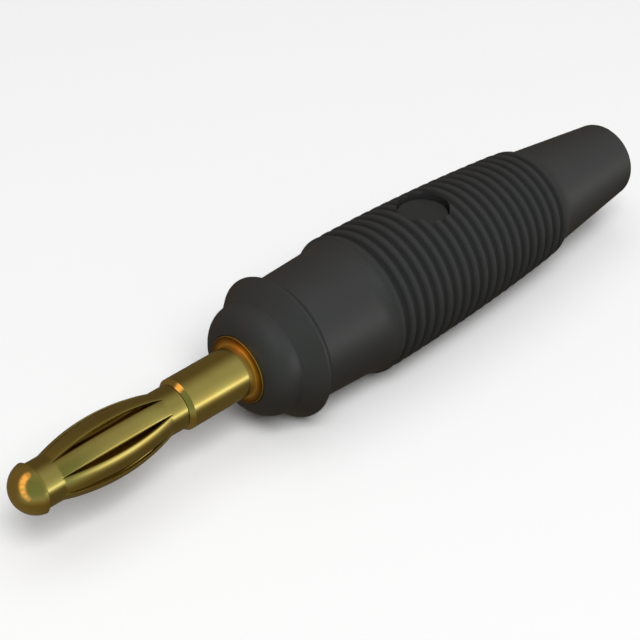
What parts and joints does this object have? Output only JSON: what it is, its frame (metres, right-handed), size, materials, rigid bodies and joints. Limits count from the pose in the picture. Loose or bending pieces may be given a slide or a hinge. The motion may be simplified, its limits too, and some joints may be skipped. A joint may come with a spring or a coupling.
{
  "type": "banana plug",
  "caption": "Banana plug for 4 mm sockets: slotted spring contact on a turned pin, ribbed black sleeve with a side hole and a hollow tapered tail.",
  "frame": {"origin": "on the plug's axis, in the plane of the sleeve's nose, which seats against a socket", "axes": "-X along the pin towards its tip, +X towards the cable end, +Z out of the sleeve's side hole"},
  "size_m": [0.0631, 0.0114, 0.0114],
  "materials": {
    "sleeve_plastic": "black, satin, fine moulded grain",
    "gold_plating": "bright gold-coloured plating on turned and rolled metal",
    "screw_steel": "plain bright steel"
  },
  "bodies": {
    "sleeve": {"sleeve": "sleeve_plastic"},
    "contact": {"contact_pin": "gold_plating"},
    "spring": {"spring_cage": "gold_plating"},
    "screw": {"clamp_screw": "screw_steel"}
  },
  "joints": [
    {"name": "pin_release", "type": "slide", "parent": "sleeve", "child": "contact", "axis": [-1, 0, 0], "range_m": [0, 0.03]},
    {"name": "spring_turn", "type": "hinge", "parent": "contact", "child": "spring", "pos_m": [-0.01235, 0, 0], "axis": [1, 0, 0], "continuous": true},
    {"name": "screw_travel", "type": "slide", "parent": "contact", "child": "screw", "axis": [0, 0, 1], "range_m": [-0.0007, 0.00115]}
  ]
}
